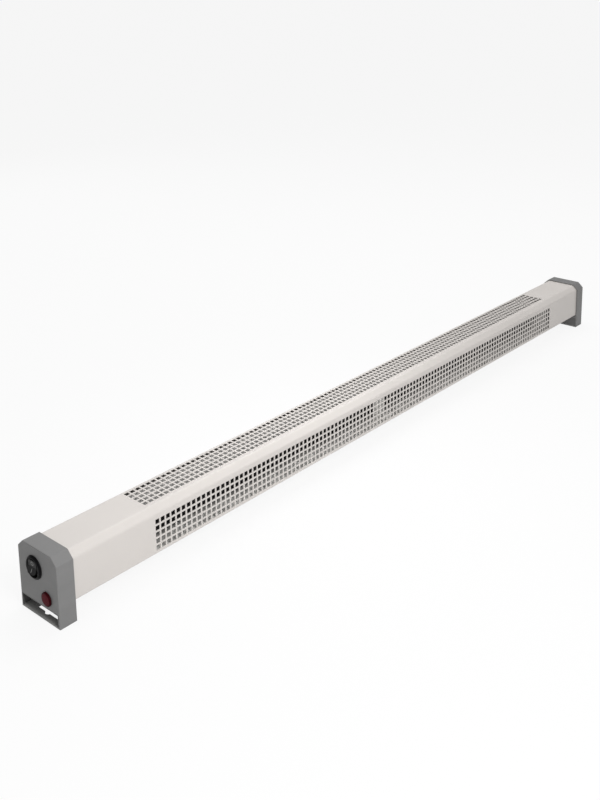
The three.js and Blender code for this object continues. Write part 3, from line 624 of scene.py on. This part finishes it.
def casing_sheet():
    """The outer surface of the casing, with every square hole cut out of it."""
    bm = bmesh.new()
    edge_row = casing_section(bm)
    stations = hole_edges(FRONT_FIRST_HOLE, HOLE_COLUMNS, HOLE_PITCH)
    stations += hole_edges(TOP_FIRST_HOLE, HOLE_COLUMNS, HOLE_PITCH)
    reached = CASING_LOW.x + CAP_DEPTH
    for station in sorted(stations) + [CASING_HIGH.x]:
        edge_row = draw_on(bm, edge_row, station - reached)
        reached = station
    punched = []
    for face in bm.faces:
        middle = face.calc_center_median()
        if middle.z > CASING_HIGH.z - GAP:
            row = in_hole(-middle.y, -TOP_BACK_ROW, HOLE_ROWS)
            column = in_hole(middle.x, TOP_FIRST_HOLE, HOLE_COLUMNS)
        elif middle.y < CASING_LOW.y + GAP:
            row = in_hole(-middle.z, -FRONT_TOP_ROW, HOLE_ROWS)
            column = in_hole(middle.x, FRONT_FIRST_HOLE, HOLE_COLUMNS)
        else:
            continue
        if row and column:
            punched.append(face)
    bmesh.ops.delete(bm, geom=punched, context="FACES")
    bmesh.ops.recalc_face_normals(bm, faces=bm.faces[:])
    roof = next(face for face in bm.faces if face.calc_center_median().z > CASING_HIGH.z - GAP)
    if roof.normal.z < 0:
        bmesh.ops.reverse_faces(bm, faces=bm.faces[:])
    return bm


def punch_round(bm, place, axis, radius, steps=32):
    """Cuts a round hole, centred on a place, out of the one flat face that surrounds it."""
    along = Vector(axis)
    face = next(face for face in bm.faces if abs(face.normal.dot(along)) > FACING
                and abs((face.verts[0].co - place).dot(along)) < HAIR
                and bmesh.geometry.intersect_face_point(face, place))
    outline = face.edges[:]
    turn = Vector((0, 0, 1)).rotation_difference(along).to_matrix().to_4x4()
    ring = bmesh.ops.create_circle(bm, radius=radius, segments=steps,
                                   matrix=Matrix.Translation(place) @ turn)["verts"]
    rim = {edge for vert in ring for edge in vert.link_edges}
    normal = face.normal.copy()
    bmesh.ops.delete(bm, geom=[face], context="FACES_ONLY")
    bmesh.ops.triangle_fill(bm, edges=outline + list(rim), use_beauty=True, normal=normal)


def add_casing():
    """The sheet with its thickness, painted outside and on its cut edges."""
    bm = casing_sheet()
    punch_round(bm, GROMMET, (0, 1, 0), GROMMET_HOLE)
    bmesh.ops.recalc_face_normals(bm, faces=bm.faces[:])
    painted = set(bm.verts)
    bmesh.ops.solidify(bm, geom=bm.faces[:], thickness=SHEET)
    for face in bm.faces:
        face.material_index = 0 if painted.intersection(face.verts) else 1
    casing = put(bm, "casing", POWDER_COAT, stands_for=["casing_shell"],
                 smooth_to=25)
    casing.data.materials.append(BARE_ZINC)
    even_shading(casing)


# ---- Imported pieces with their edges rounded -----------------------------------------


def packed_solid(name):
    """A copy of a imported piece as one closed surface, its flat faces whole again."""
    bm = bmesh.new()
    bm.from_mesh(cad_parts[name].data)
    bmesh.ops.remove_doubles(bm, verts=bm.verts[:], dist=PACKED_MERGE)
    bmesh.ops.dissolve_limit(bm, angle_limit=math.radians(FLAT), verts=bm.verts[:],
                             edges=bm.edges[:])
    return bm


def sharp_edges(bm, degrees):
    """The edges at which the surface turns by more than some degrees."""
    return [edge for edge in bm.edges
            if len(edge.link_faces) == 2 and edge.calc_face_angle() > math.radians(degrees)]


def even_shading(piece):
    """Shades flat faces flat up to their rounded edges."""
    piece.modifiers.new("even_shading", "WEIGHTED_NORMAL").keep_sharp = True


# ---- End caps -----------------------------------------------------------------------


def on_outline(place):
    """True on the sides, top or chamfers of an end cap, but not inside it."""
    beyond_ridge = abs(place.y) - (CAP_HIGH.y - CHAMFER_WIDTH)
    roof = CAP_HIGH.z - max(0, beyond_ridge) * CHAMFER_HEIGHT / CHAMFER_WIDTH
    return abs(place.y) > CAP_HIGH.y - HAIR or place.z > roof - HAIR


def add_cap(side, inner_end):
    """The cap with its outer edges rounded off and the others just broken."""
    bm = packed_solid(f"{side}_end_cap")
    outer = [edge for edge in sharp_edges(bm, SHARP)
             if all(on_outline(vert.co) for vert in edge.verts)
             and not all(abs(vert.co.x - inner_end) < HAIR for vert in edge.verts)]
    bevel_edges(bm, outer, CAP_ROUNDING, 4)
    bm.normal_update()
    bevel_edges(bm, sharp_edges(bm, SQUARE), EDGE_BREAK, 2)
    even_shading(put(bm, f"{side}_cap_moulding", MOULDED_GREY,
                     stands_for=[f"{side}_end_cap"]))


def add_caps():
    add_cap("left", LEFT_END + CAP_DEPTH)
    add_cap("right", RIGHT_END - CAP_DEPTH)


# ---- Switch -------------------------------------------------------------------------


def add_switch_housing():
    """The body with its round bezel, whose edges before the cap's face are rounded."""
    bm = packed_solid("switch_housing")
    proud = [edge for edge in sharp_edges(bm, SHARP)
             if all(vert.co.x < LEFT_END - GAP - HAIR for vert in edge.verts)]
    bevel_edges(bm, proud, BEZEL_ROUNDING, 3)
    even_shading(put(bm, "switch_body", GLOSS_BLACK,
                     stands_for=["switch_housing"]))


def rocker_turn():
    """From the rocker's own axes, about its pivot, to its place at rest, upper end in."""
    pivot = SWITCH + Vector((ROCKER_PIVOT, 0, 0))
    return Matrix.Translation(pivot) @ Matrix.Rotation(ROCKER_TILT, 4, "Y")


def add_rocker():
    """The dished rocker, the edges round its plate rounded."""
    bm = packed_solid("switch_rocker")
    to_own_axes = rocker_turn().inverted()
    rim = [edge for edge in sharp_edges(bm, DISHED_SHARP)
           if all((to_own_axes @ vert.co).x < -ROCKER_LIP - GAP for vert in edge.verts)]
    bevel_edges(bm, rim, ROCKER_ROUNDING, 3)
    even_shading(put(bm, "rocker", SATIN_BLACK, body="rocker",
                     stands_for=["switch_rocker"]))


def add_rocker_marks():
    """A plain upright bar on the raised lower half, for on, and a ring above it, for off."""
    slope = math.atan2(ROCKER_DIP, ROCKER_HALF_LENGTH)
    depth = ROCKER_DIP * (1 - MARK_HEIGHT / ROCKER_HALF_LENGTH) - ROCKER_EDGE
    bar = bmesh.new()
    bmesh.ops.create_cube(bar, size=1)
    bmesh.ops.scale(bar, vec=(MARK_THICKNESS, MARK_LINE, MARK_LENGTH), verts=bar.verts[:])
    outer, face = MARK_LENGTH / 2, MARK_THICKNESS / 2
    inner = outer - MARK_LINE
    ring = turned([(outer, -face), (outer, face), (inner, face), (inner, -face), (outer, -face)],
                  (0, 0, 0), steps=48)
    for name, bm, side in (("mark_on", bar, -1), ("mark_off", ring, 1)):
        place = Matrix.Translation((depth, 0, side * MARK_HEIGHT))
        lean = Matrix.Rotation(-side * slope, 4, "Y")
        bmesh.ops.transform(bm, matrix=rocker_turn() @ place @ lean, verts=bm.verts[:])
        put(bm, name, PRINTED_WHITE, body="rocker")


# ---- Indicator lamp and grommet -----------------------------------------------------


def add_lamp():
    """The lens and its hollow barrel."""
    rim = [(LAMP_RADIUS, -GAP), (LAMP_BARREL_RADIUS, -GAP)]
    barrel = [(LAMP_BARREL_RADIUS, LAMP_BARREL_END), (LAMP_BORE, LAMP_BARREL_END),
              (LAMP_BORE, LAMP_BORE_START), (0, LAMP_BORE_START)]
    profile = rounded(LAMP_FACE + rim, LAMP_ROUNDING) + barrel
    put(turned(profile, LAMP), "lamp_dome", LAMP_RED, stands_for=["lamp_lens"])


def add_grommet():
    """A ring with a lip on each side of the sheet and a groove for the sheet between them."""
    low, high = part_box("inlet_grommet")
    lip = (high.z - low.z) / 2
    inside, outside = low.y - GROMMET.y, high.y - GROMMET.y
    groove_start, groove_end = inside + GROMMET_INNER_LIP, outside - GROMMET_FLANGE
    corners = [(GROMMET_BORE, 0), (GROMMET_BORE, inside), (lip, inside), (lip, groove_start),
               (GROMMET_GROOVE, groove_start), (GROMMET_GROOVE, groove_end), (lip, groove_end),
               (lip, outside), (GROMMET_BORE, outside), (GROMMET_BORE, 0)]
    ring = turned(rounded(corners, GROMMET_ROUNDING), GROMMET, axis=(0, 1, 0))
    put(ring, "cable_grommet", MATT_RUBBER, stands_for=["inlet_grommet"])


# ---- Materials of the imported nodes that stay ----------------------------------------

STAYING = [
    (GALVANISED, ["bottom_cover", "lamp_nut", "left_bracket", "right_bracket",
                  "middle_support"]),
    (PLATED_STEEL, ["left_cap_screw", "right_cap_screw", "plunger_spring", "element_tube",
                    "left_terminal_stud", "right_terminal_stud", "left_bracket_rivet",
                    "right_bracket_rivet", "support_rivet_front", "support_rivet_back",
                    "cutout_rivet_front", "cutout_rivet_back", "earth_screw",
                    "cover_screw_front_1", "cover_screw_front_2", "cover_screw_front_3",
                    "cover_screw_back_1", "cover_screw_back_2", "cover_screw_back_3"]),
    (BRASS, ["contact_lever", "common_terminal", "load_terminal", "block_insert_live",
             "block_insert_neutral", "block_insert_earth", "earth_tag"]),
    (FIRED_CERAMIC, ["rocker_plunger", "lamp_resistor", "left_element_bush",
                     "right_element_bush", "terminal_block"]),
    (BLACK_ALUMINIUM, ["finned_bar"]),
    (GLOSS_BLACK, ["overheat_cutout"]),
    (LAMP_GLASS, ["neon_bulb"]),
    (BROWN_INSULATION, ["live_wire", "switched_wire", "element_feed_wire", "lamp_live_wire"]),
    (BLUE_INSULATION, ["neutral_wire", "lamp_neutral_wire"]),
    (EARTH_INSULATION, ["earth_wire"]),
]


def dress_nodes():
    for material, names in STAYING:
        for name in names:
            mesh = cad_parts[name].data
            mesh.materials.clear()
            mesh.materials.append(material)


# ---- Floor, background and light ----------------------------------------------------


def floor_paint():
    """Pale paint, nearly white to the camera and to what gloss and glass show."""
    finish = Finish("floor", (FLOOR_GREY, FLOOR_GREY, FLOOR_GREY), 0.9, Specular_IOR_Level=0.1)
    seen = finish.rays("Is Camera Ray")
    for kind in ("Is Glossy Ray", "Is Transmission Ray"):
        seen = seen.at_least(finish.rays(kind))
    white = finish.node("ShaderNodeEmission")
    shaders = {0: FLOOR_WHITENESS * seen, 1: finish.first("Principled BSDF"), 2: white}
    finish.end("Material Output", finish.node("ShaderNodeMixShader", inputs=shaders))
    return finish.material


def add_floor():
    bm = bmesh.new()
    bmesh.ops.create_grid(bm, x_segments=1, y_segments=1, size=FLOOR_HALF)
    bmesh.ops.translate(bm, vec=(0, 0, -FLOOR_DROP), verts=bm.verts[:])
    mesh = bpy.data.meshes.new("floor")
    bm.to_mesh(mesh)
    bm.free()
    mesh.materials.append(floor_paint())
    floor = bpy.data.objects.new("floor", mesh)
    bpy.context.scene.collection.objects.link(floor)


def add_world():
    """An even surround that lights the heater, and plain white for the camera."""
    world = bpy.data.worlds.new("studio")
    bpy.context.scene.world = world
    world.use_nodes = True
    nodes = Nodes(world.node_tree)
    surround = nodes.tree.nodes["Background"]
    surround.inputs["Color"].default_value = WHITE
    surround.inputs["Strength"].default_value = SURROUND
    white = nodes.node("ShaderNodeBackground", inputs={"Color": WHITE, "Strength": 1})
    shaders = {0: nodes.rays("Is Camera Ray"), 1: nodes.first("Background"), 2: white}
    nodes.end("World Output", nodes.node("ShaderNodeMixShader", inputs=shaders))


def add_softbox(name, place, target, size, power, beam):
    light = bpy.data.lights.new(name, "AREA")
    light.size = size
    light.energy = power
    light.spread = math.radians(beam)
    lamp = bpy.data.objects.new(name, light)
    lamp.location = place
    aim = Vector(target) - Vector(place)
    lamp.rotation_euler = aim.to_track_quat("-Z", "Y").to_euler()
    bpy.context.scene.collection.objects.link(lamp)


def add_studio():
    add_floor()
    add_world()
    for softbox in SOFTBOXES:
        add_softbox(*softbox)
    bpy.context.scene.view_settings.view_transform = "Standard"


add_casing()
add_caps()
add_switch_housing()
add_rocker()
add_rocker_marks()
add_lamp()
add_grommet()
dress_nodes()
add_studio()
